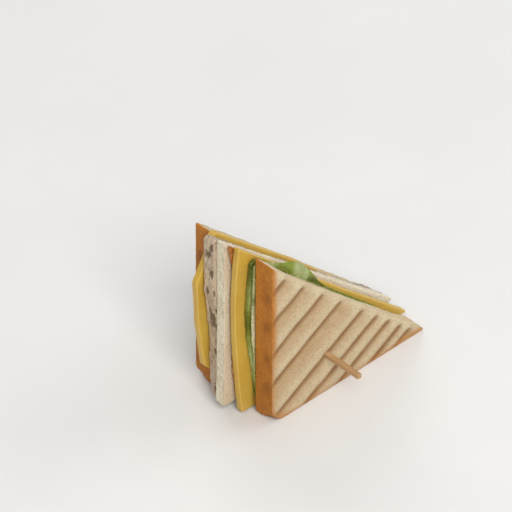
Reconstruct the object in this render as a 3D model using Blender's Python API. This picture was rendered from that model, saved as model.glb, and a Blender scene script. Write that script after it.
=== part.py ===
"""Half of a grilled club sandwich, cut corner to corner and held by a square wooden pick.

The half stands on one crust. Every layer is a plate in the X-Z plane: X runs along the leg that
lies on the table, Z up the leg that stands, and the cut side faces up and to +X. The layers follow
each other along Y, from the grilled face in front to the back slice.

Each layer is a set of rings. A ring is the layer's outline drawn in towards the pick by a share of
its reach, and it lies on the surface where the layer meets its neighbour. The rings are bridged one
to the next, from the middle of the front face, round the rim, to the middle of the back face.
"""
import math

import bmesh
import bpy
import numpy as np

# Driving dimensions, in metres.
SLICE_X = 0.1150            # leg of a toast slice along the table, to the sharp tip
SLICE_Z = 0.1115            # leg of a toast slice that stands
CRUST_CORNER = 0.010        # radius of the loaf's corner, where the legs meet
KNIFE_TIP = 0.0008          # radius left at the two tips by the knife
THICKNESS = {               # the layers from the grilled face backwards
    "top_toast": 0.0140,
    "lettuce": 0.0030,
    "upper_cheese": 0.0045,
    "bacon": 0.0020,
    "middle_bread": 0.0071,
    "chicken": 0.0104,
    "lower_cheese": 0.0045,
    "bottom_toast": 0.0130,
}
LAYERS = list(THICKNESS)
GAP = 0.0004                # clearance kept between pieces that touch
BACK_SLIP = 0.0020          # how far the bottom toast has slipped out past the standing leg

PICK_AT = (0.0413, 0.0258)  # where the pick goes through, x and z
PICK_SIDE = 0.0030
PICK_EASE = 0.0002          # how much its long edges are rounded off
PICK_LENGTH = 0.0800
PICK_OUT = 0.0250           # length that stands out of the grilled face

# The folded lettuce is thickest near the standing leg. It pushes back the front of the layers
# behind it, each by less than the one before.
FOLD_AT = (0.004, 0.077)
FOLD_REACH = 0.045
FOLD_PUSH = {
    "upper_cheese": 0.0023,
    "bacon": 0.0020,
    "middle_bread": 0.0012,
    "chicken": 0.0005,
    "lower_cheese": 0.0002,
}

# A fold of lettuce rises out of the cut side, and its free edge waves forwards and backwards.
HUMP_AT = 0.034
HUMP_WIDTH = 0.018
HUMP_RISE = 0.0080
HUMP_FROM = 0.8             # share of the way from the crust corner to the cut where it begins
HUMP_FULL = 0.9
CHEESE_PROUD = 0.0025       # how far the cheese behind it stands out of the cut side
RUFFLE = 0.0022
RUFFLE_LENGTH = 0.0160

RING_SHARES = (0.25, 0.47, 0.67, 0.85)
SIDE_STEP = 0.010           # spacing of the points along a straight side
WAVY_STEP = 0.008           # the same on an uneven side
LEAF_STEP = 0.0033          # the same on the lettuce
ARC_STEP = math.radians(30)
SHARP_ANGLE = math.radians(40)


def clear_scene():
    for thing in list(bpy.data.objects):
        bpy.data.objects.remove(thing, do_unlink=True)


def food_material(name, colour, roughness):
    material = bpy.data.materials.new(name)
    material.use_nodes = True
    shader = material.node_tree.nodes["Principled BSDF"]
    shader.inputs["Base Color"].default_value = (*colour, 1.0)
    shader.inputs["Roughness"].default_value = roughness
    shader.inputs["Metallic"].default_value = 0.0
    material.diffuse_color = (*colour, 1.0)
    return material


def unit(vector):
    return vector / np.linalg.norm(vector)


def corner_arc(before, corner, after, radius):
    """The points that round a corner, from the side that comes in to the side that goes out."""
    incoming = unit(before - corner)
    outgoing = unit(after - corner)
    half = math.acos(float(np.clip(incoming @ outgoing, -1, 1))) / 2
    centre = corner + unit(incoming + outgoing) * radius / math.sin(half)
    start = corner + incoming * radius / math.tan(half) - centre
    turn = math.pi - 2 * half
    side = math.copysign(1.0, float(outgoing[0] * incoming[1] - outgoing[1] * incoming[0]))
    count = max(1, math.ceil(turn / ARC_STEP))
    angles = np.linspace(0, turn * side, count + 1)
    cosine, sine = np.cos(angles), np.sin(angles)
    return centre + np.stack([start[0] * cosine - start[1] * sine,
                              start[0] * sine + start[1] * cosine], axis=1)


def outline(corners, step=SIDE_STEP):
    """A closed outline anticlockwise from the front: each corner is x, z, its radius and the bow
    of the side that follows, which is how far the middle of that side stands out."""
    places = [np.array(corner[:2]) for corner in corners]
    arcs = [corner_arc(places[i - 1], places[i], places[(i + 1) % len(places)], corner[2])
            for i, corner in enumerate(corners)]
    points = []
    for i, arc in enumerate(arcs):
        points.extend(arc)
        start, end = arc[-1], arcs[(i + 1) % len(arcs)][0]
        along = end - start
        outward = unit(np.array([along[1], -along[0]]))
        count = max(2, round(float(np.linalg.norm(along)) / step))
        for share in np.arange(1, count) / count:
            bow = corners[i][3] * 4 * share * (1 - share)
            points.append(start + along * share + outward * bow)
    return np.array(points)


def wavy(points, rise, length):
    """The same outline with waves: each point moves out and in from the pick by the sum of two
    sines of the distance run along the outline, whose periods divide it evenly."""
    steps = np.linalg.norm(np.roll(points, -1, axis=0) - points, axis=1)
    run = np.concatenate([[0], np.cumsum(steps)[:-1]]) / steps.sum()
    waves = round(float(steps.sum()) / length)
    wave = np.sin(2 * np.pi * waves * run) + 0.6 * np.sin(2 * np.pi * (waves // 2 + 1) * run + 1)
    away = points - np.array(PICK_AT)
    away /= np.linalg.norm(away, axis=1)[:, None]
    return points + away * rise * wave[:, None]


def front_surface(index, x, z):
    """Distance from the grilled face back to the front of layer number index. The number after
    the last layer gives the back of the stack."""
    depth = sum(THICKNESS[name] for name in LAYERS[:index])
    if index == len(LAYERS):
        return np.full_like(x, depth)
    away = (x - FOLD_AT[0]) ** 2 + (z - FOLD_AT[1]) ** 2
    return depth + FOLD_PUSH.get(LAYERS[index], 0) * np.exp(-away / FOLD_REACH ** 2)


def layer_rings(name, points, ease, back_ease=None):
    """The rings of a layer as lists of points: shares of the outline's reach that grow on the
    front face and shrink on the back, and between them the rim. Its edges are eased by a length
    inwards and a length along the thickness, the same on both faces if the back has no other."""
    pick = np.array(PICK_AT)
    thickness = THICKNESS[name]
    index = LAYERS.index(name)
    back_in, back_along = back_ease or (ease, ease)
    reach = float(np.linalg.norm(points - pick, axis=1).min())
    profile = [(share, 0.0) for share in (*RING_SHARES, 1 - ease / reach)]
    profile += [(1.0, ease / thickness), (1.0, 1 - back_along / thickness)]
    profile += [(share, 1.0) for share in (1 - back_in / reach, *reversed(RING_SHARES))]
    front_gap = GAP / 2 if index > 0 else 0
    back_gap = GAP / 2 if index + 1 < len(LAYERS) else 0
    rings = []
    for share, across in profile:
        x, z = (pick + share * (points - pick)).T
        front = front_surface(index, x, z) + front_gap
        back = front_surface(index + 1, x, z) - back_gap
        rings.append(np.stack([x, front * (1 - across) + back * across, z], axis=1))
    return rings


def loft(name, rings, material):
    """One closed body: flat end caps on the first and last ring, and a bridge between each two."""
    body = bmesh.new()
    loops = [[body.verts.new(point) for point in ring] for ring in rings]
    body.faces.new(loops[0])
    body.faces.new(loops[-1][::-1])
    for inner, outer in zip(loops, loops[1:]):
        for i, vertex in enumerate(inner):
            body.faces.new((inner[i - 1], outer[i - 1], outer[i], vertex))
    bmesh.ops.recalc_face_normals(body, faces=body.faces)
    mesh = bpy.data.meshes.new(name)
    body.to_mesh(mesh)
    body.free()
    mesh.shade_smooth()
    mesh.set_sharp_from_angle(angle=SHARP_ANGLE)
    mesh.materials.append(material)
    piece = bpy.data.objects.new(name, mesh)
    bpy.context.scene.collection.objects.link(piece)
    return piece


def bar(name, side, front, back):
    """A square bar along Y on the pick's line, between two distances from the grilled face."""
    bpy.ops.mesh.primitive_cube_add(size=1)
    piece = bpy.context.active_object
    piece.name = name
    piece.data.name = name
    body = bmesh.new()
    body.from_mesh(piece.data)
    bmesh.ops.scale(body, vec=(side, back - front, side), verts=body.verts)
    bmesh.ops.translate(body, vec=(PICK_AT[0], (front + back) / 2, PICK_AT[1]), verts=body.verts)
    body.to_mesh(piece.data)
    body.free()
    return piece


def pick_hole():
    """The cutter for the hole that the pick makes, a clearance larger than the pick all round."""
    cutter = bar("pick_hole", PICK_SIDE + 2 * GAP, -PICK_OUT, PICK_LENGTH - PICK_OUT + GAP)
    cutter.hide_render = True
    cutter.display_type = "WIRE"
    return cutter


def pierce(piece, cutter):
    hole = piece.modifiers.new("pick_hole", "BOOLEAN")
    hole.operation = "DIFFERENCE"
    hole.solver = "EXACT"
    hole.object = cutter


def slice_of_toast(name, slip, material):
    """A grilled slice: two crust legs at a right angle, and the side that the knife cut."""
    points = outline((
        (-slip, 0.0, CRUST_CORNER, 0.0),
        (SLICE_X, 0.0, KNIFE_TIP, 0.0),
        (-slip, SLICE_Z + slip, KNIFE_TIP, 0.0),
    ))
    return loft(name, layer_rings(name, points, ease=0.0008), material)


def cut_line(x, z):
    """How far out a point lies, as a share: 0 at the crust corner and 1 on the toasts' cut side."""
    return x / SLICE_X + z / SLICE_Z


def lettuce(material):
    """Folded leaves, one sheet in the solids: a wavy outline with a hump on the cut side, where
    the free edge rises over the slices and waves forwards and backwards."""
    points = wavy(outline((
        (-0.0010, 0.0060, 0.006, 0.0),
        (0.1050, 0.0045, 0.006, 0.0),
        (-0.0020, 0.1120, 0.003, 0.0),
    ), step=LEAF_STEP), rise=0.0006, length=RUFFLE_LENGTH)
    x, z = points.T
    on_cut = np.clip((cut_line(x, z) - HUMP_FROM) / (HUMP_FULL - HUMP_FROM), 0, 1)
    hump = HUMP_RISE * np.exp(-((x - HUMP_AT) / HUMP_WIDTH) ** 2) * on_cut
    points = points + hump[:, None] * math.sqrt(0.5)
    rings = layer_rings("lettuce", points, ease=0.0010)
    for ring in rings:
        x, z = ring[:, 0], ring[:, 2]
        proud = (cut_line(x, z) - 1) * SLICE_X * math.sqrt(0.5)
        free = np.clip(proud / CHEESE_PROUD - 1, 0, 1)
        ring[:, 1] += RUFFLE * free * np.sin((x - z) * 2 * np.pi / RUFFLE_LENGTH)
    return loft("lettuce", rings, material)


def upper_cheese(material):
    """A square slice of cheese under the lettuce, cut with the sandwich, with one soft corner."""
    points = outline((
        (-0.0065, 0.0016, 0.0014, 0.0),
        (0.1180, 0.0010, 0.0008, -0.0006),
        (-0.0090, 0.1205, 0.0008, 0.0020),
    ))
    return loft("upper_cheese", layer_rings("upper_cheese", points, ease=0.0005), material)


def bacon(material):
    """Thin rashers side by side, with a wavy edge that shows beside the bread."""
    points = wavy(outline((
        (-0.0070, 0.0100, 0.0030, 0.0),
        (0.1060, 0.0080, 0.0020, 0.0),
        (-0.0105, 0.1165, 0.0010, -0.0010),
    ), step=WAVY_STEP), rise=0.0005, length=0.026)
    return loft("bacon", layer_rings("bacon", points, ease=0.0004), material)


def middle_bread(material):
    """The plain slice in the middle. It is larger than the toasts and sits a little skewed."""
    points = outline((
        (-0.0140, 0.0060, 0.0014, 0.0),
        (0.1145, 0.0070, 0.0010, 0.0),
        (-0.0126, 0.1225, 0.0010, -0.0008),
    ))
    return loft("middle_bread", layer_rings("middle_bread", points, ease=0.0008), material)


def chicken(material):
    """Peppered chicken in a layer with an uneven edge. It draws back at the lower half of the
    standing side, its lower corner is torn round, and its back edge falls away."""
    points = wavy(outline((
        (-0.0082, 0.0085, 0.0080, 0.0),
        (0.1165, 0.0040, 0.0020, 0.0),
        (-0.0130, 0.1205, 0.0020, 0.0),
        (-0.0130, 0.0790, 0.0500, 0.0),
        (-0.0094, 0.0500, 0.0500, 0.0),
    ), step=WAVY_STEP), rise=0.0004, length=0.021)
    rings = layer_rings("chicken", points, ease=0.0006, back_ease=(0.0018, 0.0055))
    return loft("chicken", rings, material)


def lower_cheese(material):
    """A slice of cheese that has slipped out over the standing leg, with its corners cut off."""
    points = outline((
        (-0.0075, 0.0150, 0.0030, 0.0),
        (0.1070, 0.0070, 0.0030, 0.0),
        (0.0580, 0.0572, 0.0200, 0.0),
        (-0.0050, 0.1165, 0.0010, 0.0),
        (-0.0085, 0.1010, 0.0050, 0.0),
        (-0.0172, 0.0850, 0.0040, 0.0),
        (-0.0158, 0.0560, 0.0400, 0.0),
        (-0.0120, 0.0280, 0.0080, 0.0),
    ))
    return loft("lower_cheese", layer_rings("lower_cheese", points, ease=0.0005), material)


def pick(material):
    """A square stick with eased edges and a flat end, pushed through to the back slice."""
    piece = bar("pick", PICK_SIDE, -PICK_OUT, PICK_LENGTH - PICK_OUT)
    piece.data.materials.append(material)
    eased = piece.modifiers.new("eased_edges", "BEVEL")
    eased.width = PICK_EASE
    eased.segments = 1
    return piece


def stand_on_origin(pieces, cutter):
    """Hang everything on an empty that brings the middle of the base to the origin."""
    corners = np.array([vertex.co for piece in pieces for vertex in piece.data.vertices])
    middle = (corners.min(axis=0) + corners.max(axis=0)) / 2
    holder = bpy.data.objects.new("sandwich", None)
    holder.location = (-middle[0], -middle[1], 0)
    bpy.context.scene.collection.objects.link(holder)
    for piece in (*pieces, cutter):
        piece.parent = holder


clear_scene()
toast = food_material("toast", (0.58, 0.40, 0.22), 0.80)
cheese = food_material("cheese", (0.72, 0.45, 0.06), 0.40)
layers = [
    slice_of_toast("top_toast", 0.0, toast),
    lettuce(food_material("lettuce", (0.20, 0.32, 0.05), 0.45)),
    upper_cheese(cheese),
    bacon(food_material("bacon", (0.30, 0.08, 0.03), 0.45)),
    middle_bread(food_material("bread", (0.75, 0.66, 0.50), 0.85)),
    chicken(food_material("chicken", (0.50, 0.38, 0.27), 0.60)),
    lower_cheese(cheese),
    slice_of_toast("bottom_toast", BACK_SLIP, toast),
]
hole = pick_hole()
for layer in layers:
    pierce(layer, hole)
stand_on_origin([*layers, pick(food_material("wood", (0.42, 0.25, 0.11), 0.70))], hole)
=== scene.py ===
"""Half of a grilled club sandwich, standing on its crusts and held by a square wooden pick.

The layers follow each other from the grilled front slice to the back slice, and each one replaces
its solid in the frame. Lengths are in metres. X runs along the crusts that lie on the table, Y
through the stack and Z up the standing crusts.
"""

import bpy
import numpy as np
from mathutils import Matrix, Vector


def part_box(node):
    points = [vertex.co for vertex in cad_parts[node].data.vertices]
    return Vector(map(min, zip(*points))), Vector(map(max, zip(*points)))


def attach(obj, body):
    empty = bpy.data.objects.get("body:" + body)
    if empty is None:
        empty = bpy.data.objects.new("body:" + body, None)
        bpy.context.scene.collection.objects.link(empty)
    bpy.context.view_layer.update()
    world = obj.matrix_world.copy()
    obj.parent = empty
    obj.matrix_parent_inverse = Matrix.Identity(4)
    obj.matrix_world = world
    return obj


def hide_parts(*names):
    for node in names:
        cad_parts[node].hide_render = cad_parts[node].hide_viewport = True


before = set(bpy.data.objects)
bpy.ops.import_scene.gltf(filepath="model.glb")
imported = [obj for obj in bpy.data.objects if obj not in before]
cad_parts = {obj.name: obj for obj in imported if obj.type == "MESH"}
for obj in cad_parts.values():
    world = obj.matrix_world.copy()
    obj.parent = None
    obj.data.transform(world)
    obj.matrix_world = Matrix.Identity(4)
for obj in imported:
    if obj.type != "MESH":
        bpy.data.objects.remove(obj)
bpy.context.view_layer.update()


# ---- front slice ----
# A slice of toasting bread, browned on a ribbed grill: the ribs left furrows, and the bread puffed
# up between them. The knife went corner to corner, so two sides keep their crust and the third
# shows the crumb.

SLICE_X = 0.1150        # crust leg on the table, out to the sharp tip
SLICE_Z = 0.1115        # crust leg that stands
LOAF_CORNER = 0.0100    # radius between the two crust legs, on the grilled face
CORNER_POWER = 6        # inside the sandwich that corner is nearly square: a^6 + b^6 = radius^6
CORNER_DEPTH = 0.0100   # how far behind the grilled face it has become so
KNIFE_TIP = 0.0008      # radius at the two tips
TOAST_EDGES = (0.0008, 0.0004)  # radius of the edges, at the crusts and at the cut
TOAST_POINTS = 860      # points round a toast's outline
TOAST_RINGS = (60, 8)   # rings on its grilled face and on its inner one
TOAST_RIM_RINGS = 30
LEFT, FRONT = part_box("top_toast")[0].x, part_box("top_toast")[0].y

GRILL_SLOPE = np.radians(30)
# Where each rib crossed the slice, measured square to the ribs from the crust corner.
GRILL_RIBS = np.array([-0.0460, -0.0364, -0.0246, -0.0123, 0.0025, 0.0242, 0.0425, 0.0618, 0.0802])
RIB_WIDTH = 0.0019
RIB_DEPTH = 0.0007
PUFF = 0.0005           # how far the bread beside a rib stands up
PUFF_AT = 0.0048        # how far beyond the rib it stands highest
CRUST_SKIN = 0.0016     # thickness of the crust where it is cut through
CRUST_BLUR = 0.0004     # half width of the border between crust and crumb
HOLE_DEPTH = 0.0010     # depth of the largest holes in the crumb
PICK_DIP = 0.0006       # how far the pick pressed the face in
PICK_DIP_REACH = 0.0030
# How far the soft crumb behind the face is drawn in at the cut, near the upper and the lower tip.
DRAWN_IN = (0.0018, 0.0011)
PICK_X, _, PICK_Z = (sum(ends) / 2 for ends in zip(*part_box("pick")))


def unit(vectors):
    """The same directions, with length one."""
    return vectors / (np.linalg.norm(vectors, axis=-1, keepdims=True) + 1e-12)


def smooth(value, low, high):
    """0 below low, 1 above high and 3t^2 - 2t^3 between; low may be the larger one."""
    t = np.clip((value - low) / (high - low), 0, 1)
    return t * t * (3 - 2 * t)


def outline(corners, count):
    """A closed outline of count points at even distances, anticlockwise seen from the front. Each
    corner is x, z, the radius of its arc and the bow of the side that follows it, whose middle
    stands out by that much: bow * 4 * share * (1 - share). x is measured from the front slice's
    standing crust. An arc turns from its first point to its last about its centre."""
    corners = np.array(corners, float)
    place, radius, bow = corners[:, :2], corners[:, 2:3], corners[:, 3:]
    back = unit(np.roll(place, 1, axis=0) - place)
    ahead = unit(np.roll(place, -1, axis=0) - place)
    half = np.arccos(np.sum(back * ahead, axis=1, keepdims=True)) / 2
    centre = place + unit(back + ahead) * radius / np.sin(half)
    start = place + back * radius / np.tan(half)
    end = place + ahead * radius / np.tan(half)
    turn = np.pi - 2 * half
    share = np.linspace(0, 1, 25)[:, None, None]
    arcs = centre + (np.sin((1 - share) * turn) * (start - centre)
                     + np.sin(share * turn) * (end - centre)) / np.sin(turn)
    along = np.roll(start, -1, axis=0) - end
    outward = unit(np.stack([along[:, 1], -along[:, 0]], axis=1))
    sides = end + along * share + outward * bow * 4 * share * (1 - share)
    path = np.concatenate([arcs, sides]).transpose(1, 0, 2).reshape(-1, 2)
    path = np.concatenate([path, path[:1]])
    run = np.concatenate([[0], np.cumsum(np.linalg.norm(np.diff(path, axis=0), axis=1))])
    even = np.linspace(0, run[-1], count, endpoint=False)
    return np.stack([np.interp(even, run, path[:, 0]) + LEFT, np.interp(even, run, path[:, 1])], axis=1)


def plate(points, middle, front, back, ease, front_face, back_face, rim_rings):
    """A closed plate as a grid of rings by outline points, from the middle of its front face round
    the rim to the middle of its back face. A ring is the outline drawn in towards middle, so that
    it stays even with the sides. front and back give the faces' distance at x, z; ease is the
    radius of the edges; front_face and back_face list how far in the rings of each face lie, from
    the innermost outwards."""
    middle = np.array([middle[0] + LEFT, middle[1]])
    reach = np.linalg.norm(points - middle, axis=1).min()
    ease = np.broadcast_to(ease, len(points))
    thickness = float((back(*middle) - front(*middle)))
    turn = np.linspace(0, np.pi / 2, 5)[:, None]
    edge_in, edge_down = ease * (1 - np.sin(turn)), ease * (1 - np.cos(turn)) / thickness
    rim = np.linspace(0, 1, rim_rings + 2)[1:-1, None]
    front_flat, back_flat = front_face[:, None] + ease, back_face[::-1, None] + ease
    inset = np.concatenate([front_flat, edge_in, 0 * rim * ease, edge_in[::-1], back_flat])
    across = np.concatenate([0 * front_flat, edge_down, edge_down[-1] + rim * (1 - 2 * edge_down[-1]),
                             1 - edge_down[::-1], 0 * back_flat + 1])
    share = np.maximum(1 - inset / reach, 0.01)[..., None]
    x, z = np.moveaxis(middle + share * (points - middle), -1, 0)
    y = front(x, z) * (1 - across) + back(x, z) * across
    return np.stack([x, y, z], axis=-1)


def normals(places):
    """The outward direction at each point of a grid: across the steps from ring to ring and from
    column to column."""
    onward = np.gradient(places, axis=0)
    around = np.roll(places, -1, axis=1) - np.roll(places, 1, axis=1)
    return unit(np.cross(onward, around))


def flatness(places):
    """How squarely the surface looks to the front or the back: 0 on the rim and 1 on the faces."""
    return np.abs(normals(places)[..., 1])


def raised(places, height):
    """The places moved outwards by height."""
    return places + normals(places) * height[..., None]


def lattice(cells, corner, seed):
    """A random number from 0 to 1 for a corner of each cell, the same for the same cell."""
    key = (cells + corner) @ np.array([73856093, 19349663, 83492791]) + seed * 7919
    key = (key ^ (key >> 13)) * 1274126177
    return ((key ^ (key >> 16)) & 65535) / 65535


def noise(places, size, seed):
    """Smooth random heights from -1 to 1, about size apart (one length, or one along each axis):
    random numbers at the corners of cubic cells, blended with the weights 3t^2 - 2t^3."""
    cell = places / size + 500.5
    low = np.floor(cell).astype(np.int64)
    t = cell - low
    t = t * t * (3 - 2 * t)
    total = 0
    for corner in np.ndindex(2, 2, 2):
        weight = np.prod(np.where(corner, t, 1 - t), axis=-1)
        total = total + weight * lattice(low, np.array(corner), seed)
    return total * 2 - 1


def bubbles(places, size, seed):
    """How deep each point lies in a bubble, from 0 to 1. One bubble lies at random in every cubic
    cell, with a radius of its own, and the 27 cells round a point are searched. The places are
    bent by noise first, so that no bubble is round."""
    bend = np.stack([noise(places, size * 0.9, seed + axis) for axis in range(3)], axis=-1)
    cell = places / size + 500.5 + 0.28 * bend
    low = np.floor(cell).astype(np.int64)
    deepest = np.zeros(places.shape[:-1])
    for corner in np.ndindex(3, 3, 3):
        corner = np.array(corner) - 1
        offset = np.stack([lattice(low, corner, seed + axis) for axis in range(3)], axis=-1)
        radius = 0.18 + 0.50 * lattice(low, corner, seed + 3) ** 2
        share = np.linalg.norm(low + corner + offset - cell, axis=-1) / radius
        deepest = np.maximum(deepest, np.clip(1 - share ** 2, 0, 1) * radius / 0.68)
    return np.sqrt(deepest)


def open_crumb(places, seed):
    """Depth of the holes in cut bread, from 0 to 1: large bubbles and small ones between them."""
    return np.maximum(bubbles(places, 0.0029, seed), 0.55 * bubbles(places, 0.0015, seed + 5))


def quads(index, beside):
    """Faces between neighbouring rows, from each column to the one beside it."""
    return np.stack([index[:-1], index[1:], beside[1:], beside[:-1]], axis=-1).reshape(-1, 4).tolist()


def build(name, points, faces, **masks):
    """A mesh in the scene. Masks are numbers at its points that the material reads."""
    mesh = bpy.data.meshes.new(name)
    mesh.from_pydata(points.reshape(-1, 3).tolist(), [], faces)
    for mask_name, values in masks.items():
        layer = mesh.attributes.new(mask_name, "FLOAT", "POINT")
        layer.data.foreach_set("value", values.ravel().astype(np.float32))
    piece = bpy.data.objects.new(name, mesh)
    bpy.context.scene.collection.objects.link(piece)
    return piece


def skin(name, places, **masks):
    """A closed smooth mesh from a grid of rings, with a fan of triangles on each end ring. A fan's
    middle point takes the mean of its ring."""
    rings, columns = places.shape[:2]
    index = np.arange(rings * columns).reshape(rings, columns)
    beside = np.roll(index, -1, axis=1)
    first, last = np.full(columns, index.size), np.full(columns, index.size + 1)
    fans = np.concatenate([np.stack([first, index[0], beside[0]], axis=1),
                           np.stack([last, beside[-1], index[-1]], axis=1)])
    points = np.concatenate([places.reshape(-1, 3), places[[0, -1]].mean(axis=1)])
    masks = {mask_name: np.concatenate([values.reshape(-1), values[[0, -1]].mean(axis=1)])
             for mask_name, values in masks.items()}
    piece = build(name, points, quads(index, beside) + fans.tolist(), **masks)
    piece.data.shade_smooth()
    return piece


def finish(piece, material, slot, *nodes):
    """Gives a piece its material and body, and lets it stand for its solids. slot is not used."""
    piece.data.materials.append(material)
    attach(piece, "root")
    if nodes:
        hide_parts(*nodes)


def colour(shown):
    """A colour given as it looks on a screen, from 0 to 255, as linear light."""
    value = np.array(shown) / 255
    linear = np.where(value <= 0.04045, value / 12.92, ((value + 0.055) / 1.055) ** 2.4)
    return (*linear.tolist(), 1.0)


def give(tree, node, inputs):
    """Sets a node's inputs. Each name or number of a socket has a value or another's output."""
    for name, value in inputs.items():
        if isinstance(value, bpy.types.NodeSocket):
            tree.links.new(value, node.inputs[name])
        else:
            node.inputs[name].default_value = value


def put(tree, kind, inputs=None, **settings):
    """Adds a shader node."""
    node = tree.nodes.new("ShaderNode" + kind)
    for name, value in settings.items():
        setattr(node, name, value)
    give(tree, node, inputs or {})
    return node


def blend(tree, share, first, second, amount=1.0):
    """The colour that lies share * amount of the way from the first to the second. share is an
    output or the name of a mask, and a colour is an output or three numbers as on a screen."""
    share = mask(tree, share) if isinstance(share, str) else share
    share = share if amount == 1 else math(tree, "MULTIPLY", share, amount)
    first, second = (colour(end) if isinstance(end, tuple) else end for end in (first, second))
    return put(tree, "Mix", {0: share, 6: first, 7: second}, data_type="RGBA").outputs[2]


def ramp(tree, value, low, high, start=0.0, end=1.0):
    """start below low, end above high, and a smooth step between."""
    return put(tree, "MapRange", {"Value": value, "From Min": low, "From Max": high, "To Min": start,
                                  "To Max": end}, interpolation_type="SMOOTHSTEP").outputs["Result"]


def math(tree, operation, first, second=0.0):
    return put(tree, "Math", {0: first, 1: second}, operation=operation).outputs[0]


def mask(tree, name):
    return put(tree, "Attribute", attribute_name=name).outputs["Fac"]


def new_group(name, inputs, outputs):
    """An empty node group with number sockets: inputs with their defaults, and outputs."""
    tree = bpy.data.node_groups.new(name, "ShaderNodeTree")
    for socket, value in inputs.items():
        number = tree.interface.new_socket(socket, in_out="INPUT", socket_type="NodeSocketFloat")
        number.default_value = value
    for socket in outputs:
        tree.interface.new_socket(socket, in_out="OUTPUT", socket_type="NodeSocketFloat")
    return tree, tree.nodes.new("NodeGroupInput").outputs, tree.nodes.new("NodeGroupOutput").inputs


def mottle_group():
    """Soft blotches: cloudy noise, pulled apart to run from 0 to 1."""
    tree, given, result = new_group("mottle", {"Scale": 100.0, "Detail": 3.0}, ["Blotch"])
    place = put(tree, "TexCoord").outputs["Object"]
    cloud = put(tree, "TexNoise", {"Vector": place, "Scale": given["Scale"], "Detail": given["Detail"],
                                   "Roughness": 0.6})
    tree.links.new(ramp(tree, cloud.outputs[0], 0.32, 0.68), result["Blotch"])
    return tree


def crumb_group():
    """Bread crumb: bubbles of two sizes whose walls stand up, with the holes as a mask for painted
    shade.
    """
    tree, given, result = new_group("crumb", {"Scale": 900.0}, ["Height", "Hole"])
    place = put(tree, "TexCoord").outputs["Object"]
    bend = put(tree, "TexNoise", {"Vector": place, "Scale": given["Scale"], "Detail": 2.0})
    shift = put(tree, "VectorMath", {0: bend.outputs["Color"], 3: 0.0009}, operation="SCALE").outputs[0]
    bent = put(tree, "VectorMath", {0: place, 1: shift}, operation="ADD").outputs[0]
    small = put(tree, "TexVoronoi", {"Vector": bent, "Scale": given["Scale"]}, feature="SMOOTH_F1")
    coarse = math(tree, "MULTIPLY", given["Scale"], 0.42)
    large = put(tree, "TexVoronoi", {"Vector": bent, "Scale": coarse}, feature="SMOOTH_F1")
    small_wall = ramp(tree, small.outputs["Distance"], 0.15, 0.6)
    large_wall = ramp(tree, large.outputs["Distance"], 0.10, 0.42)
    height = math(tree, "ADD", math(tree, "MULTIPLY", small_wall, 0.45),
                  math(tree, "MULTIPLY", large_wall, 0.55))
    hole = math(tree, "SUBTRACT", 1.0, large_wall)
    tree.links.new(height, result["Height"])
    tree.links.new(hole, result["Hole"])
    return tree


MOTTLE = mottle_group()
CRUMB = crumb_group()


def mottle(tree, scale, detail):
    """Places the shared mottle in a material."""
    return put(tree, "Group", {"Scale": scale, "Detail": detail}, node_tree=MOTTLE).outputs["Blotch"]


def crumb_of(tree, scale):
    """Places the shared crumb in a material."""
    return put(tree, "Group", {"Scale": scale}, node_tree=CRUMB).outputs


def new_material(name):
    material = bpy.data.materials.new(name)
    material.use_nodes = True
    return material, material.node_tree, material.node_tree.nodes["Principled BSDF"]


def bump(tree, shader, height, distance):
    """Small relief from a height of 0 to 1 that stands for this distance in metres."""
    node = put(tree, "Bump", {"Height": height, "Distance": distance, "Strength": 1.0})
    tree.links.new(node.outputs["Normal"], shader.inputs["Normal"])


def soften(tree, shader, weight, radius):
    """Lets light a little way under the surface: radius in metres for red, green and blue."""
    give(tree, shader, {"Subsurface Weight": weight, "Subsurface Radius": radius,
                        "Subsurface Scale": 1.0})


def toast_material():
    """Grilled face, crust and crumb, told apart by the masks on the mesh."""
    material, tree, shader = new_material("grilled_toast")
    crumb = crumb_of(tree, 1000.0)
    soft = mottle(tree, 120.0, 3.0)
    fine = mottle(tree, 900.0, 4.0)
    face = blend(tree, soft, (178, 148, 109), (188, 160, 122))
    # Paler bread beside the ribs, and painted highlight along the cut edge.
    face = blend(tree, "pale", face, (206, 190, 157))
    face = blend(tree, ramp(tree, fine, 0.45, 1.0), face, (158, 122, 83), 0.35)
    browned = blend(tree, fine, (120, 84, 47), (141, 103, 61))
    face = blend(tree, "mark", face, browned)
    face = blend(tree, "rim", face, (182, 134, 84))
    crust = blend(tree, soft, (174, 106, 30), (191, 122, 37))
    crust = blend(tree, fine, crust, (146, 86, 24), 0.25)
    inside = blend(tree, soft, (205, 184, 146), (216, 198, 162))
    # Painted shade: the crumb is darker in its holes, large and small.
    inside = blend(tree, crumb["Hole"], inside, (176, 146, 106), 0.28)
    inside = blend(tree, "hole", inside, (166, 134, 94), 0.40)
    whole = blend(tree, "crust", face, crust)
    whole = blend(tree, "scorch", whole, (126, 70, 10), 0.6)
    whole = blend(tree, "inside", whole, inside)
    rough = ramp(tree, mask(tree, "crust"), 0.0, 1.0, 0.85, 0.62)
    give(tree, shader, {"Base Color": whole, "Roughness": rough, "Specular IOR Level": 0.3})
    bump(tree, shader, crumb["Height"], 0.00035)
    return material


TOAST = toast_material()


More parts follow.
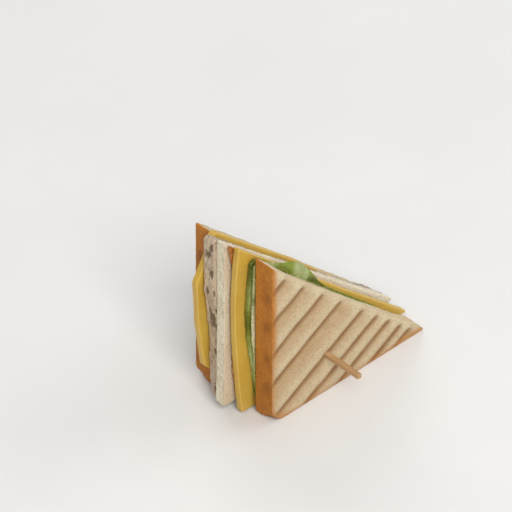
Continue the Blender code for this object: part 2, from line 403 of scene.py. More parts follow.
def grilled_slice(name, node, length, height, slip, outer):
    """One slice, cut at this length along the table and at this height. slip is how far its crust
    stands past the front slice's, and outer is -1 where the grilled face looks to the front and 1
    where it looks to the back. A furrow falls off as exp(-(distance / RIB_WIDTH)^2), and the bread
    beyond a rib puffs up as (r * exp(1 - r))^2, where r is the distance from it / PUFF_AT."""
    points = outline(((-slip, 0, LOAF_CORNER, 0), (length, 0, KNIFE_TIP, 0),
                      (-slip, height, KNIFE_TIP, 0)), TOAST_POINTS)
    foot, leg = length + slip, height
    inner_radius = (foot + leg - np.hypot(foot, leg)) / 2
    low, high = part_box(node)
    on_cut = smooth((points[:, 0] - LEFT + slip) / foot + points[:, 1] / leg, 0.97, 1.0)
    ease = TOAST_EDGES[0] + (TOAST_EDGES[1] - TOAST_EDGES[0]) * on_cut
    faces = [np.linspace(inner_radius - 0.0015, 0.0005, rings) for rings in TOAST_RINGS]
    places = plate(points, (inner_radius - slip, inner_radius), lambda x, z: low.y + 0 * x,
                   lambda x, z: high.y + 0 * x, ease, *faces[::-outer], TOAST_RIM_RINGS)
    behind = np.abs(places[..., 1] - (low.y if outer < 0 else high.y))

    # The corner between the crusts turns from an arc to nearly a square.
    to_centre = np.maximum(np.array([LEFT - slip, 0]) + LOAF_CORNER - places[..., [0, 2]], 1e-9)
    square = (to_centre ** CORNER_POWER).sum(axis=-1) ** (1 / CORNER_POWER)
    stretch = (np.linalg.norm(to_centre, axis=-1) / square - 1) * smooth(behind, 0.0, CORNER_DEPTH)
    places[..., [0, 2]] -= to_centre * stretch[..., None]

    # The soft crumb is drawn in at the cut. u and v are measured from this slice's own crusts.
    u, v = places[..., 0] - LEFT + slip, places[..., 2]
    from_cut = (1 - u / foot - v / leg) * foot * leg / np.hypot(foot, leg)
    corner = LOAF_CORNER - np.hypot(np.minimum(u - LOAF_CORNER, 0), np.minimum(v - LOAF_CORNER, 0))
    from_crust = np.where((u < LOAF_CORNER) & (v < LOAF_CORNER), corner, np.minimum(u, v))
    drawn = (DRAWN_IN[0] * smooth(u, 0.006, 0.022)
             + (DRAWN_IN[1] - DRAWN_IN[0]) * smooth(u, 0.070, 0.095))
    drawn = drawn * smooth(v, 0.002, 0.012) * smooth(from_cut, 0.0080, 0.0) * behind / (high.y - low.y)
    places[..., [0, 2]] -= drawn[..., None] * unit(np.array([leg, foot]))

    # Where each point lies: grilled face, inner face, crust or cut side.
    facing = outer * normals(places)[..., 1]
    grilled, inner = smooth(facing, 0.3, 0.8), smooth(-facing, 0.3, 0.8)
    rim = np.clip(1 - grilled - inner, 0, 1)
    crust_side = rim * smooth(from_cut - from_crust, -CRUST_BLUR, CRUST_BLUR)
    cut_side = rim - crust_side

    # Furrows, the bread that puffed up beside them, how brown each part is, and a painted
    # highlight along the cut edge.
    drift = 0.0005 * noise(places, 0.014, 11)
    across = v * np.cos(GRILL_SLOPE) - u * np.sin(GRILL_SLOPE) + drift
    away = across[..., None] - GRILL_RIBS
    furrow = np.exp(-(away / RIB_WIDTH) ** 2).sum(axis=-1)
    fade = smooth(from_cut, 0.0014, 0.0042) * (0.85 + 0.15 * noise(places, 0.009, 12))
    mark = furrow * grilled * fade
    rise = np.maximum(away, 0) / PUFF_AT
    puff = (rise * np.exp(1 - rise)).max(axis=-1) ** 2 * grilled
    # Painted highlight along the cut edge: a pale margin of the face and a pale line on the cut side.
    skin_line = cut_side * smooth(behind, 0.0014, 0.0005)
    pale = np.clip(0.75 * puff * (1 - mark) + 0.6 * grilled * smooth(from_cut, 0.0062, 0.0012)
                   + 0.8 * skin_line, 0, 1)
    low_rim = (0.0020 + 0.0035 * smooth(u, 0.070, 0.100) * smooth(v, 0.014, 0.004)
               + 0.0035 * smooth(u, 0.022, 0.006) * smooth(v, 0.012, 0.004))
    wrapped = 0.85 * grilled * smooth(u, 0.0040, 0.0004) * smooth(v, 0.040, 0.060)
    orange = grilled * np.maximum(smooth(from_crust, low_rim, 0.2 * low_rim),
                                  0.45 * smooth(from_crust, 0.0055, 0.0010))
    dark_spots = (np.exp(-((away + 0.0036) / 0.0034) ** 2).sum(axis=-1)
                  * smooth(noise(places, 0.02, 19), -0.7, 0.3))
    # Darker: scorched grill marks near the crust, scorched spots on the crust side, and the crust side
    # towards the bottom.
    scorch = (0.7 * mark * smooth(from_crust, 0.0070, 0.0020)
              + crust_side * dark_spots * np.exp(-((behind - 0.0042) / 0.0030) ** 2)
              + 0.35 * crust_side * smooth(v, 0.060, 0.015))
    cut_crust = (cut_side + inner) * smooth(from_crust, CRUST_SKIN + CRUST_BLUR, CRUST_SKIN - CRUST_BLUR)

    # Relief: ribs, bubbles, the dip round the pick and small unevenness.
    holes = open_crumb(places, 21) * smooth(from_crust, 0.0006, 0.0030)
    near_pick = np.exp(-((places[..., 0] - PICK_X) ** 2 + (v - PICK_Z) ** 2) / PICK_DIP_REACH ** 2)
    height = grilled * smooth(from_crust, 0.0, 0.0040) * (
        PUFF * puff - RIB_DEPTH * mark + 0.00025 * noise(places, 0.013, 13))
    height += grilled * 0.00007 * noise(places, 0.0016, 14)
    height += crust_side * (0.00018 * noise(places, 0.009, 15) + 0.00005 * noise(places, 0.0014, 16))
    height += cut_side * (0.00015 * noise(places, 0.004, 17) - HOLE_DEPTH * holes)
    height -= PICK_DIP * grilled * near_pick
    places = raised(places, height)
    places[..., 2] = np.maximum(places[..., 2], 0)
    piece = skin(name, places, mark=np.clip(mark, 0, 1), pale=pale, rim=orange, hole=cut_side * holes,
                 crust=np.clip(crust_side + cut_crust + wrapped, 0, 1), scorch=np.clip(scorch, 0, 1),
                 inside=np.clip(inner + cut_side - skin_line - cut_crust, 0, 1))
    finish(piece, TOAST, "toast", node)


grilled_slice("grilled_front_slice", "top_toast", SLICE_X, SLICE_Z, 0.0, -1)


# ---- lettuce ----
# Crisp leaves folded flat under the front slice, darker towards the cheese and pale at the ribs.
# On the cut side one fold stands up and its free edge curls back over the cheese.

GAP = 0.0004            # clearance between layers
FOLD_AT = (LEFT + 0.004, 0.077)
FOLD_REACH = 0.045
HUMP_AT = 0.0342        # the fold's highest place, along X from the standing crust
HUMP_SPREADS = (0.0245, 0.0175)  # half width of the fold along the cut, upwards and downwards
HUMP_RISE = 0.0055
FOLD_ROOT = 0.0060      # how deep inside the cut the standing leaves begin
FOLD_DIP = 0.0012       # how far their edge lies below the cut at both ends
FOLD_GRID = (260, 60)   # points along the cut and outwards
LEAF_THICKNESS = 0.0005
LEAF_POINTS = 640
LEAF_EASE = 0.0006      # radius of the folds at the rim


def pressed(start, push):
    """A layer's face: flat at start, and pushed back by push where the folded lettuce is thickest,
    falling off as exp(-(distance / reach)^2)."""
    return lambda x, z: start + push * np.exp(-((x - FOLD_AT[0]) ** 2 + (z - FOLD_AT[1]) ** 2)
                                              / FOLD_REACH ** 2)


def wavy(points, middle, rise, length, seed):
    """The same outline, moved out from and in to the middle by smooth random waves."""
    middle = np.array([middle[0] + LEFT, middle[1]])
    along = np.stack([points[:, 0], 0 * points[:, 0], points[:, 1]], axis=1)
    wave = noise(along, length, seed) + 0.5 * noise(along, length / 2.3, seed + 1)
    return points + unit(points - middle) * rise * wave[:, None]


def lettuce_material():
    """Leaf green to rib white by the masks, with painted shade, a net of paler veins and small blisters.
    """
    material, tree, shader = new_material("lettuce_leaf")
    soft = mottle(tree, 160.0, 3.0)
    fine = mottle(tree, 700.0, 2.0)
    place = put(tree, "TexCoord").outputs["Object"]
    net = put(tree, "TexVoronoi", {"Vector": place, "Scale": 420.0}, feature="DISTANCE_TO_EDGE")
    vein = ramp(tree, net.outputs["Distance"], 0.0, 0.14, 1.0, 0.0)
    green = blend(tree, soft, (112, 124, 8), (130, 144, 18))
    pale = blend(tree, soft, (150, 158, 96), (170, 178, 122))
    leaf = blend(tree, "green", pale, green)
    leaf = blend(tree, "white", leaf, (212, 200, 164))
    # Darker green, and painted shade at the root of the standing fold.
    leaf = blend(tree, "dark", leaf, (72, 78, 4))
    leaf = blend(tree, vein, leaf, (160, 170, 96), 0.25)
    give(tree, shader, {"Base Color": leaf, "Specular IOR Level": 0.25, "Roughness": 0.40})
    soften(tree, shader, 0.12, (0.002, 0.003, 0.001))
    bump(tree, shader, math(tree, "SUBTRACT", fine, vein), 0.00018)
    return material


LETTUCE = lettuce_material()
lettuce_front, lettuce_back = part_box("top_toast")[1].y + GAP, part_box("upper_cheese")[0].y - GAP
leaf_split = lettuce_front + 0.40 * (lettuce_back - lettuce_front)
LEAF_MIDDLE = (0.031, 0.036)
LEAF_FACE = np.concatenate([[0.028, 0.020, 0.014, 0.010, 0.0075], np.linspace(0.0060, 0.0006, 9)])


def folded_leaves(name, start, end, push, corners, tints, seed):
    """Leaves folded on themselves, so that their rim is a row of puckered folds. tints gives each
    mask its bands at the standing side: amount, height of the middle above the table and half
    width. The cut side is green instead, and pale only beside the standing fold's pale part."""
    points = wavy(outline(corners, LEAF_POINTS), LEAF_MIDDLE, 0.0004, 0.009, seed)
    places = plate(points, LEAF_MIDDLE, pressed(start, push * 0.4), pressed(end, push), LEAF_EASE,
                   LEAF_FACE, LEAF_FACE, 6)
    rim = 1 - smooth(flatness(places), 0.5, 0.95)
    pucker = noise(places, (0.0030, 0.010, 0.0030), seed + 2)
    ply = noise(places, (0.020, 0.0008, 0.020), seed + 3)
    places = raised(places, rim * (0.00028 * pucker + 0.00020 * ply))
    shade = 0.3 * noise(places, 0.012, seed + 4) + 0.25 * ply * rim
    masks = {}
    for tint, bands in tints.items():
        amount = sum(most * np.exp(-((places[..., 2] - at) / width) ** 2) for most, at, width in bands)
        masks[tint] = np.clip(amount + shade * (tint != "white"), 0, 1)
    x = places[..., 0] - LEFT
    on_cut = smooth(x, 0.012, 0.020)
    leafy = on_cut * (1 - np.exp(-((x - HUMP_AT) / 0.0055) ** 4))
    masks["white"] = masks["white"] * (1 - on_cut)
    masks["green"] = np.maximum(masks["green"] * (1 - on_cut), leafy)
    masks["dark"] = np.maximum(masks["dark"] * (1 - on_cut), 0.4 * leafy)
    finish(skin(name, places, **masks), LETTUCE, "lettuce", "lettuce")


folded_leaves("lettuce_against_toast", lettuce_front, leaf_split - 0.0001, 0.0010,
              ((0.0012, 0.0068, 0.004, 0), (0.1050, 0.0040, 0.006, 0), (0.0900, 0.0224, 0.010, 0),
               (0.0190, 0.0914, 0.020, 0), (0.0004, 0.1085, 0.003, 0), (-0.0014, 0.0620, 0.060, 0)),
              {"green": ((0.5, 0.110, 0.020), (0.9, 0.015, 0.014)),
               "white": ((1.0, 0.060, 0.014), (0.3, 0.095, 0.02)),
               "dark": ((0.35, 0.108, 0.012), (0.6, 0.080, 0.0035))}, 31)
folded_leaves("lettuce_against_cheese", leaf_split + 0.0001, lettuce_back, 0.0023,
              ((0.0024, 0.0060, 0.004, 0), (0.1060, 0.0040, 0.006, 0), (0.0900, 0.0225, 0.010, 0),
               (0.0190, 0.0916, 0.020, 0), (-0.0006, 0.1100, 0.003, 0), (-0.0026, 0.0760, 0.030, 0),
               (-0.0026, 0.0560, 0.030, 0)),
              {"green": ((1.0, 0.110, 0.022), (0.9, 0.060, 0.018), (1.0, 0.010, 0.018)), "white": (),
               "dark": ((1.0, 0.102, 0.015), (0.6, 0.062, 0.011), (0.7, 0.012, 0.012))}, 36)


def standing_fold(name, spreads, rise, lean, ruffle, depth, seed):
    """A leaf's free edge that stands out of the cut side, as a grid along the cut and outwards.
    Its edge stands out by (rise + FOLD_DIP) * exp(-(along / spread)^2) - FOLD_DIP. It leans back
    by lean times its height's share to the power 1.5, and a ruffle grows towards the edge."""
    cut = unit(np.array([SLICE_X, -SLICE_Z]))
    out = np.array([-cut[1], cut[0]])
    foot = np.array([LEFT + HUMP_AT, SLICE_Z * (1 - HUMP_AT / SLICE_X)])
    along, share = np.meshgrid(np.linspace(-1.5 * spreads[0], 1.5 * spreads[1], FOLD_GRID[0]),
                               np.linspace(0, 1, FOLD_GRID[1]), indexing="ij")
    spots = np.stack([along, 0 * along, share * 0.01], axis=-1)
    spread = np.where(along < 0, *spreads)
    frill = noise(spots * [1, 0, 0], 0.0050, seed) + 0.6 * noise(spots * [1, 0, 0], 0.0021, seed + 1)
    height = (rise + FOLD_DIP) * np.exp(-(along / spread) ** 2) - FOLD_DIP + 0.00035 * frill
    outward = -FOLD_ROOT + (FOLD_ROOT + height) * share
    free = np.clip(outward / rise, 0, 1)
    wave = noise(spots, (0.0085, 1, 0.03), seed + 2) + 0.6 * free * noise(
        spots, (0.0034, 1, 0.01), seed + 3)
    blister = noise(spots, (0.0026, 1, 0.0030), seed + 4)
    rib = np.exp(-((along - 0.0010 - 0.25 * outward) / 0.0013) ** 2)
    y = depth + lean * free ** 1.5 + ruffle * wave * free + 0.00018 * blister - 0.0004 * rib
    x, z = foot[:, None, None] + cut[:, None, None] * along + out[:, None, None] * outward
    tint = noise(spots, (0.0060, 1, 0.0050), seed + 5)
    green = (smooth(np.abs(along - 0.0016) + 0.0018 * tint, 0.0050, 0.0108)
             * smooth(along, -0.0290, -0.0190))
    # Painted shade at the fold's root, where it comes out between the layers, most towards the lower
    # tip; the random part is darker green.
    dark = green * ((0.4 + 0.4 * smooth(along, -0.002, 0.008)) * smooth(free, 0.40, 0.10)
                    + 0.2 * np.clip(tint, 0, 1))
    index = np.arange(along.size).reshape(along.shape)
    piece = build(name, np.stack([x, y, z], axis=-1), quads(index[:, :-1], index[:, 1:]),
                  green=green, dark=dark)
    piece.data.shade_smooth()
    shell = piece.modifiers.new("thickness", "SOLIDIFY")
    shell.thickness = LEAF_THICKNESS
    shell.offset = 0
    finish(piece, LETTUCE, "lettuce")


standing_fold("lettuce_fold_front", HUMP_SPREADS, HUMP_RISE, 0.0038, 0.0006, lettuce_front + 0.0007, 41)
standing_fold("lettuce_fold_back", np.array(HUMP_SPREADS) * 0.9, HUMP_RISE * 0.75, 0.0022, 0.0008,
              lettuce_front + 0.0021, 48)


# ---- front cheese ----
# A thick slice of mild yellow cheese, cut together with the sandwich. It has warmed a little, so
# its edges are soft and its rim shows the faint drag of the knife.

CHEESE_POINTS = 620
CHEESE_EASE = 0.0005    # radius of its edges
SLAB_FACE = np.concatenate([[0.029, 0.022, 0.0170], np.linspace(0.0140, 0.0006, 20)])


def cheese_material():
    """Even yellow, painted highlight on the edges, faint streaks across the slice and a waxy gloss."""
    material, tree, shader = new_material("cheese")
    soft = mottle(tree, 55.0, 2.0)
    fine = mottle(tree, 600.0, 3.0)
    body = blend(tree, soft, (196, 158, 60), (203, 168, 70))
    # Painted highlight on the rounded edges.
    body = blend(tree, "edge", body, (210, 179, 84), 0.35)
    body = blend(tree, "streak", body, (196, 147, 54), 0.5)
    give(tree, shader, {"Base Color": body, "Roughness": ramp(tree, fine, 0.0, 1.0, 0.36, 0.50)})
    soften(tree, shader, 0.2, (0.003, 0.002, 0.0006))
    bump(tree, shader, fine, 0.00006)
    return material


CHEESE = cheese_material()


def cheese_slice(name, node, next_node, pushes, corners, middle, seed):
    """One slice between the faces of its neighbours, with soft edges and a slightly uneven rim."""
    start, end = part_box(node)[0].y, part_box(next_node)[0].y - GAP
    places = plate(outline(corners, CHEESE_POINTS), middle, pressed(start, pushes[0]),
                   pressed(end, pushes[1]), CHEESE_EASE, SLAB_FACE, SLAB_FACE, 8)
    flat = flatness(places)
    rim = 1 - smooth(flat, 0.4, 0.9)
    # The rounded edges between rim and faces, where a highlight is painted.
    edge = smooth(flat, 0.12, 0.45) * (1 - smooth(flat, 0.93, 0.999))
    drag = noise(places, (0.012, 0.0009, 0.012), seed)
    height = 0.00018 * noise(places, 0.010, seed + 1) * (0.3 + 0.7 * rim) + 0.00006 * drag * rim
    piece = skin(name, raised(places, height), edge=edge, streak=rim * smooth(drag, 0.1, 0.8))
    finish(piece, CHEESE, "cheese", node)


cheese_slice("cheese_front", "upper_cheese", "bacon", (0.0023, 0.0020),
             ((-0.0065, 0.0016, 0.0014, 0), (0.1182, 0.0001, 0.0007, -0.0006),
              (-0.0080, 0.1197, 0.0008, 0.0024)), (0.030, 0.036), 51)


# ---- bacon ----
# Fried rashers laid side by side across the sandwich, so that their ends show at the standing
# side. Lean and fat run lengthwise in uneven bands, and frying has rippled them.

RASHER_WIDTH = 0.0262
RASHER_GAP = 0.0010
RASHER_POINTS = 360
RASHER_EASE = 0.0004    # radius of its edges
BACON_START = 0.0095    # height of the lowest rasher above the table
# Where each rasher ends, along X from the standing crust, at its lower and at its upper side. The
# lowest rasher comes first.
RASHER_ENDS = ((-0.0054, -0.0090), (-0.0088, -0.0050), (-0.0060, -0.0084), (-0.0045, -0.0120))
RASHER_CUTS = (0.0002, 0.0002, -0.0009, -0.0014)  # how far each reaches past the toasts' cut


def fibres(tree, scale, detail, roughness):
    """Noise drawn out along the axes that have the smaller scales."""
    place = put(tree, "TexCoord").outputs["Object"]
    drawn_out = put(tree, "Mapping", {"Vector": place, "Scale": scale}).outputs[0]
    return put(tree, "TexNoise", {"Vector": drawn_out, "Scale": 1.0, "Detail": detail,
                                  "Roughness": roughness}).outputs[0]


def bacon_material():
    """Lean and fat in bands along X that wander, darker where it is crisp."""
    material, tree, shader = new_material("fried_bacon")
    fat = ramp(tree, fibres(tree, (18.0, 60.0, 150.0), 4.0, 0.6), 0.52, 0.60)
    crisp = mottle(tree, 220.0, 4.0)
    lean = blend(tree, crisp, (176, 108, 40), (150, 88, 32))
    lean = blend(tree, "burnt", lean, (96, 50, 20))
    whole = blend(tree, fat, lean, (193, 140, 92), 0.75)
    give(tree, shader, {"Base Color": whole, "Roughness": ramp(tree, crisp, 0.0, 1.0, 0.32, 0.55),
                        "Coat Weight": 0.2, "Coat Roughness": 0.25})
    bump(tree, shader, math(tree, "ADD", fat, crisp), 0.00015)
    return material


BACON = bacon_material()
bacon_front, bacon_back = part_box("bacon")[0].y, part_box("middle_bread")[0].y - GAP


def rasher(number, reach, upper_reach, cut_out):
    """One rasher: a strip whose ends and long edges wander, rippled along its length. The highest
    one runs out in a point where the cut meets its end."""
    low = BACON_START + number * RASHER_WIDTH
    high = low + RASHER_WIDTH - RASHER_GAP

    def cut_x(z):
        return SLICE_X * (1 - z / SLICE_Z) + cut_out

    corners = [(reach, low, 0.002, 0), (cut_x(low), low, 0.0015, 0)]
    if cut_x(high) > reach + 0.012:
        corners += [(cut_x(high), high, 0.0015, 0), (upper_reach, high, 0.002, 0)]
    else:
        corners += [(upper_reach, SLICE_Z * (1 - (upper_reach - cut_out) / SLICE_X), 0.001, 0)]
    middle = (np.mean([corner[0] for corner in corners]), np.mean([corner[1] for corner in corners]))
    points = wavy(outline(corners, RASHER_POINTS), middle, 0.0006, 0.007, 61 + number)
    face = np.linspace(min(high - low, 0.02) / 2 - 0.001, 0.0004, 20)

    def rippled(surface):
        return lambda x, z: surface(x, z) + 0.00025 * noise(
            np.stack([x, 0 * x, z], axis=-1), 0.006, 71 + number)

    places = plate(points, middle, rippled(pressed(bacon_front + 0.0002, 0.0020)),
                   rippled(pressed(bacon_back - 0.0002, 0.0012)), RASHER_EASE, face, face, 3)
    rim = 1 - smooth(flatness(places), 0.3, 0.9)
    places = raised(places, 0.00015 * noise(places, 0.0018, 81 + number))
    burnt = rim * smooth(noise(places, 0.006, 85 + number), -0.1, 0.5)
    finish(skin("bacon_rasher_%d" % (number + 1), places, burnt=burnt), BACON, "bacon", "bacon")


for number, reaches in enumerate(RASHER_ENDS):
    rasher(number, *reaches, RASHER_CUTS[number])


# ---- middle bread ----
# A plain slice of soft white bread without its crust, larger than the toasts and laid a little
# skewed. All of its rim shows the open crumb.

BREAD_CORNERS = ((-0.0140, 0.0060, 0.0014, 0), (0.1145, 0.0070, 0.0010, 0),
                 (-0.0126, 0.1225, 0.0010, -0.0008))
BREAD_MIDDLE = (0.023, 0.042)
BREAD_POINTS = 720
BREAD_EASE = 0.0007     # radius of its edges
BREAD_SLOPES = (0.0009, 0.0017)  # how far the cut side falls back by the chicken, high and low
BREAD_SLOPE_DEPTH = 0.0050  # how far from the chicken that begins
BREAD_HOLE_DEPTH = 0.0008


def bread_material():
    """Cream crumb with painted shade in its holes, and warmer painted shade beside the bacon."""
    material, tree, shader = new_material("white_bread")
    crumb = crumb_of(tree, 1100.0)
    soft = mottle(tree, 90.0, 3.0)
    body = blend(tree, soft, (214, 202, 176), (224, 214, 190))
    # Painted shade: the crumb is darker in its holes.
    body = blend(tree, crumb["Hole"], body, (182, 162, 128), 0.18)
    body = blend(tree, "hole", body, (174, 152, 116), 0.3)
    body = blend(tree, "wet", body, (198, 172, 142))
    give(tree, shader, {"Base Color": body, "Roughness": 0.9, "Specular IOR Level": 0.2})
    soften(tree, shader, 0.08, (0.002, 0.0015, 0.001))
    bump(tree, shader, crumb["Height"], 0.0004)
    return material


def plain_bread():
    """A slab whose rim shows the crumb. Its cut side falls back towards the chicken, and by the
    bacon, near the standing side, it has warmer painted shade."""
    front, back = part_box("middle_bread")[0].y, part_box("chicken")[0].y - GAP
    places = plate(outline(BREAD_CORNERS, BREAD_POINTS), BREAD_MIDDLE, pressed(front, 0.0012),
                   pressed(back, 0.0005), BREAD_EASE, SLAB_FACE, SLAB_FACE, 18)
    x, y = places[..., 0] - LEFT, places[..., 1]
    slope = (smooth(y, back - BREAD_SLOPE_DEPTH, back) * smooth(normals(places)[..., 0], 0.3, 0.6)
             * (BREAD_SLOPES[0] + (BREAD_SLOPES[1] - BREAD_SLOPES[0]) * smooth(x, 0.060, 0.080)))
    places[..., [0, 2]] -= slope[..., None] * unit(np.array([SLICE_Z, SLICE_X]))
    rim = 1 - smooth(flatness(places), 0.4, 0.9)
    holes = open_crumb(places, 91)
    height = rim * (0.00022 * noise(places, 0.006, 95) - BREAD_HOLE_DEPTH * holes)
    # Painted shade: the strip beside the bacon, near the standing side, is darker and warmer.
    wet = 0.6 * smooth(y, front + 0.0022, front + 0.0004) * smooth(x, 0.030, 0.0)
    piece = skin("plain_bread", raised(places, height), wet=wet, hole=rim * holes)
    finish(piece, bread_material(), "bread", "middle_bread")


plain_bread()


# ---- chicken ----
# Cold roast chicken in one thick layer, pulled and pressed together, with cracked pepper. Its rim
# is torn along the fibres, so it has crevices and strands.

CHICKEN_CORNERS = ((-0.0084, 0.0085, 0.0030, 0), (0.1150, 0.0040, 0.0020, -0.0009),
                   (-0.0130, 0.1205, 0.0020, 0), (-0.0130, 0.0790, 0.0500, 0),
                   (-0.0094, 0.0500, 0.0500, 0))
CHICKEN_MIDDLE = (0.024, 0.040)
CHICKEN_POINTS = 700
CHICKEN_EASE = 0.0014   # radius of its edges
CHICKEN_SAG = (0.0022, 0, 0.0062)  # how far its lower corner hangs down beside the bread
CHICKEN_SAG_DEPTH = 0.0055  # how far from the cheese it hangs by all of that


def chicken_material():
    """Greyish beige meat with fibres along the slice, pinker patches, painted shade in lines where the
    slices are folded, which follow the middle value of a drawn-out noise, and in the crevices."""
    material, tree, shader = new_material("cold_chicken")
    strand = ramp(tree, fibres(tree, (110.0, 620.0, 110.0), 5.0, 0.65), 0.38, 0.62)
    fold = fibres(tree, (60.0, 230.0, 60.0), 1.0, 0.4)
    off_middle = math(tree, "ABSOLUTE", math(tree, "SUBTRACT", fold, 0.5))
    fold_line = ramp(tree, off_middle, 0.0, 0.055, 1.0, 0.0)
    soft = mottle(tree, 170.0, 4.0)
    patch = mottle(tree, 60.0, 2.0)
    body = blend(tree, soft, (176, 154, 124), (198, 180, 150))
    body = blend(tree, patch, body, (190, 160, 132), 0.5)
    body = blend(tree, strand, body, (208, 192, 164), 0.45)
    # Painted shade in the creases where the slices are folded.
    body = blend(tree, fold_line, body, (166, 130, 102), 0.35)
    # Painted shade: in the crevices, on the cut side and in the crease beside the bread.
    body = blend(tree, "crevice", body, (94, 68, 44))
    give(tree, shader, {"Base Color": body, "Roughness": ramp(tree, soft, 0.0, 1.0, 0.42, 0.60)})
    soften(tree, shader, 0.12, (0.003, 0.0015, 0.001))
    bump(tree, shader, math(tree, "SUBTRACT", strand, fold_line), 0.00025)
    return material


def chicken_relief(places, torn):
    """Height and crevices of the rim. Strands are noise drawn out along the slice, and crevices
    are the highest parts of a coarser noise whose borders finer noise frays. torn is 1 where the
    meat was torn, which leaves more of them, and 0 where the knife cut it."""
    strand = (noise(places, (0.011, 0.0013, 0.011), 103)
              + 0.5 * noise(places, (0.006, 0.0007, 0.006), 104))
    fray = noise(places, 0.0018, 106) + 0.5 * noise(places, 0.0009, 107)
    cloud = noise(places, (0.0045, 0.0028, 0.0065), 344) + 0.25 * fray
    crevice = smooth(cloud + 0.08 * torn, 0.37, 0.66) * (0.45 + 0.35 * torn)
    lump = noise(places, 0.0055, 108) + 0.4 * noise(places, 0.0022, 109)
    return 0.00050 * lump + 0.00025 * strand - 0.0015 * crevice, crevice


def chicken_layer():
    """A slab with a rim that is torn at the standing side and cut at the other. Gives back its
    places and the mask of its rim, which the pepper needs."""
    front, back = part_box("chicken")[0].y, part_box("lower_cheese")[0].y - GAP
    points = wavy(outline(CHICKEN_CORNERS, CHICKEN_POINTS), CHICKEN_MIDDLE, 0.0005, 0.011, 101)
    places = plate(points, CHICKEN_MIDDLE, pressed(front, 0.0005), pressed(back, 0.0002),
                   CHICKEN_EASE, SLAB_FACE, SLAB_FACE, 26)
    x, y, z = np.moveaxis(places, -1, 0)
    sag = (smooth(y, back, back - CHICKEN_SAG_DEPTH) * smooth(z, 0.030, 0.004)
           * smooth(x - LEFT, 0.020, -0.002))
    places = places - np.array(CHICKEN_SAG) * sag[..., None]
    rim = 1 - smooth(flatness(places), 0.5, 0.95)
    torn = smooth(normals(places)[..., 0], 0.5, 0.1)
    height, crevice = chicken_relief(places, torn)
    # Painted shade: the cut side is a little darker than the torn one, most of all beside the bread.
    shade = (1 - torn) * (0.20 + 0.20 * smooth(y, front + 0.0035, front + 0.0005))
    places = raised(places, rim * height)
    # The crevice mask carries this painted shade.
    piece = skin("chicken_layer", places, crevice=rim * np.maximum(crevice, shade))
    finish(piece, chicken_material(), "chicken", "chicken")
    return places, rim


chicken_places, chicken_rim = chicken_layer()


# ---- pepper ----
# Coarsely cracked black pepper that clings to the chicken. Each grain is a broken piece with flat
# sides, half sunk in the meat.

PEPPER_GRAINS = 130
PEPPER_SIZE = (0.00018, 0.00042)


def pepper_material():
    """Black to dark brown, grain by grain."""
    material, tree, shader = new_material("cracked_pepper")
    tone = blend(tree, "tone", (38, 30, 24), (92, 70, 50))
    give(tree, shader, {"Base Color": tone, "Roughness": 0.6})
    return material


def scatter(name, spots, sizes, material, slot, seed):
    """Broken grains at the spots: an icosahedron whose corners lie at random distances, turned at
    random. Grain g's corner c lies at spot + size * turn @ corner * distance."""
    random = np.random.default_rng(seed)
    golden = (1 + 5 ** 0.5) / 2
    corners = unit(np.array([np.roll((0, a, b * golden), turn)
                             for turn in (2, 0, 1) for a in (-1, 1) for b in (-1, 1)]))
    near = np.linalg.norm(corners[:, None] - corners, axis=-1) < 1.1
    trios = np.array([(a, b, c) for a, b, c in np.ndindex(12, 12, 12)
                      if a < min(b, c) and b != c and near[a, b] and near[b, c] and near[a, c]
                      and np.linalg.det(corners[[a, b, c]]) > 0])
    axes = np.linalg.qr(random.normal(size=(len(spots), 3, 3)))[0]
    axes *= np.sign(np.linalg.det(axes))[:, None, None]
    stretch = random.uniform(0.6, 1.3, (len(spots), 12, 1))
    places = spots[:, None] + sizes[:, None, None] * (corners * stretch) @ axes
    faces = trios + 12 * np.arange(len(spots))[:, None, None]
    tone = np.repeat(random.uniform(0, 1, len(spots)), 12)
    finish(build(name, places, faces.reshape(-1, 3).tolist(), tone=tone), material, slot)


pepper_random = np.random.default_rng(120)
pepper_spots = chicken_places[chicken_rim > 0.9]
pepper_spots = pepper_spots[pepper_random.choice(len(pepper_spots), PEPPER_GRAINS, replace=False)]
pepper_sizes = pepper_random.uniform(*PEPPER_SIZE, PEPPER_GRAINS)
scatter("cracked_pepper", pepper_spots, pepper_sizes, pepper_material(), "chicken", 121)


# ---- back cheese ----
# The second slice of the same cheese. It has slipped out over the standing leg, and its corners
# were cut off.

cheese_slice("cheese_back", "lower_cheese", "bottom_toast", (0.0002, 0.0),
             ((-0.0075, 0.0190, 0.0030, 0), (0.1070, 0.0070, 0.0030, 0), (0.0580, 0.0572, 0.0200, 0),
              (-0.0050, 0.1160, 0.0030, 0), (-0.0085, 0.1010, 0.0050, 0), (-0.0172, 0.0850, 0.0040, 0),
              (-0.0158, 0.0560, 0.0400, 0), (-0.0115, 0.0235, 0.0045, 0)), (0.024, 0.044), 55)


# ---- back slice ----
# The second grilled slice, with its grilled face to the back. It was cut a little smaller, and it
# has slipped out a little past the standing crust of the front one.

BACK_SLIP = 0.0020
BACK_X = SLICE_X - 0.0020
BACK_Z = SLICE_Z - 0.0010

grilled_slice("grilled_back_slice", "bottom_toast", BACK_X, BACK_Z, BACK_SLIP, 1)


# ---- pick ----
# A square stick of light wood, sawn along the grain and pushed through the stack by hand.

PICK_RINGS = 260
PICK_COLUMNS = 48
PICK_POWER = 0.15       # how square its outline is: cos^0.15 and sin^0.15, with their signs kept
PICK_WORN = (0.5, 0.95)  # its size at both ends, on the last two rings
PICK_GRAIN_DEPTH = 0.00006


def wood_material():
    """Light wood with fine darker grain along Y."""
    material, tree, shader = new_material("light_wood")
    grain = ramp(tree, fibres(tree, (1400.0, 40.0, 1400.0), 4.0, 0.6), 0.35, 0.65)
    soft = mottle(tree, 70.0, 2.0)
    body = blend(tree, soft, (184, 145, 100), (196, 157, 111))
    body = blend(tree, grain, body, (150, 112, 72), 0.45)
    give(tree, shader, {"Base Color": body, "Roughness": 0.7})
    bump(tree, shader, grain, 0.00008)
    return material


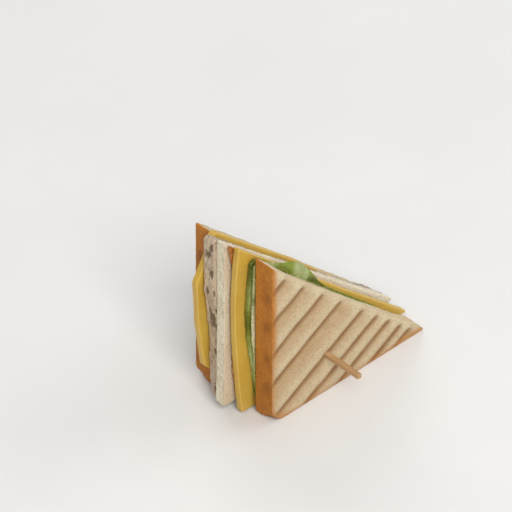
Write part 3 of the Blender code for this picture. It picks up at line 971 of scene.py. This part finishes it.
def pick():
    """Rings along Y whose outline is a square with round corners, worn smaller at both ends."""
    low, high = (np.array(corner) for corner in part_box("pick"))
    middle, half = (low + high) / 2, (high - low) / 2
    turn = np.linspace(0, 2 * np.pi, PICK_COLUMNS, endpoint=False)[:, None]
    circle = np.concatenate([np.cos(turn), np.sin(turn)], axis=1)
    square = np.sign(circle) * np.abs(circle) ** PICK_POWER * half[[0, 2]]
    run = np.concatenate([[0, 0, 0.0025], np.linspace(0.005, 0.9975, PICK_RINGS), [1, 1]])[:, None]
    size = np.ones(run.shape)
    size[:2, 0], size[-2:, 0] = PICK_WORN, PICK_WORN[::-1]
    places = np.stack(np.broadcast_arrays(
        middle[0] + size * square[:, 0], low[1] + run * (high - low)[1],
        middle[2] + size * square[:, 1]), axis=-1)
    grain = noise(places, (0.0005, 0.02, 0.0005), 111) + noise(places, 0.004, 112)
    height = (size == 1) * PICK_GRAIN_DEPTH * (grain - 1)
    finish(skin("wooden_pick", raised(places, height)), wood_material(), "pick_wood", "pick")


pick()


# ---- table and lights ----
# A plain pale table with soft light from a large lamp at the front left, weaker ones at the right
# and behind, and an even pale room.

TABLE_HALF = 6.0
LAMPS_AIM = (0, 0, 0.05)
ROOM_TINT = (0.95, 0.96, 1.0, 1.0)
ROOM_STRENGTH = 0.45


def table():
    """A square of table top."""
    corners = TABLE_HALF * np.array([(-1, -1, 0), (1, -1, 0), (1, 1, 0), (-1, 1, 0)])
    piece = build("table", corners, [(0, 1, 2, 3)])
    material, tree, shader = new_material("pale_table")
    top = blend(tree, mottle(tree, 8.0, 3.0), (226, 225, 222), (229, 228, 225))
    give(tree, shader, {"Base Color": top, "Roughness": 0.8})
    piece.data.materials.append(material)


def sideways(ahead):
    """The directions to the right of ahead and above it, for a thing that is held upright."""
    right = unit(np.cross(ahead, [0, 0, 1.0]))
    return right, np.cross(right, ahead)


def aim(thing, place, ahead):
    """Puts a camera or lamp upright at a place, looking along ahead."""
    matrix = np.eye(4)
    matrix[:3] = np.stack([*sideways(ahead), -ahead, place], axis=1)
    thing.matrix_world = matrix.T.tolist()
    bpy.context.scene.collection.objects.link(thing)


def lamp(name, place, size, power, tint):
    """A square lamp that shines at the middle of the sandwich."""
    light = bpy.data.lights.new(name, "AREA")
    light.size, light.energy, light.color = size, power, tint
    place = np.array(place)
    aim(bpy.data.objects.new(name, light), place, unit(np.array(LAMPS_AIM) - place))


table()
lamp("key", (-0.9, -1.5, 1.7), 1.2, 40.0, (1.0, 0.98, 0.95))
lamp("fill", (1.6, -0.8, 1.2), 1.4, 12.0, (0.97, 0.98, 1.0))
lamp("back", (0.6, 1.8, 1.4), 1.4, 14.0, (1.0, 1.0, 1.0))
world = bpy.data.worlds.new("room")
world.use_nodes = True
room = world.node_tree
give(room, room.nodes["Background"], {"Color": ROOM_TINT, "Strength": ROOM_STRENGTH})
bpy.context.scene.world = world
bpy.context.scene.view_settings.view_transform = "Standard"


# ---- camera ----
# A long lens from the front left and above. The grilled face and the standing side show.

AZIMUTH = np.radians(-43.7)
ELEVATION = np.radians(40.9)
LENS = 1.500
DISTANCE = 11.571
CORNER_RIGHT = 0.00895  # where the front crust corner lies, from the middle of the view
CORNER_DOWN = 0.0917

camera = bpy.data.cameras.new("camera")
camera.lens = LENS * 1000
camera.sensor_width = 36
camera.clip_end = 100
ahead = np.array([-np.sin(AZIMUTH) * np.cos(ELEVATION), np.cos(AZIMUTH) * np.cos(ELEVATION),
                  -np.sin(ELEVATION)])
right, upward = sideways(ahead)
target = np.array([LEFT, FRONT, 0]) - right * CORNER_RIGHT + upward * CORNER_DOWN
camera_object = bpy.data.objects.new("camera", camera)
aim(camera_object, target - ahead * DISTANCE, ahead)
bpy.context.scene.camera = camera_object
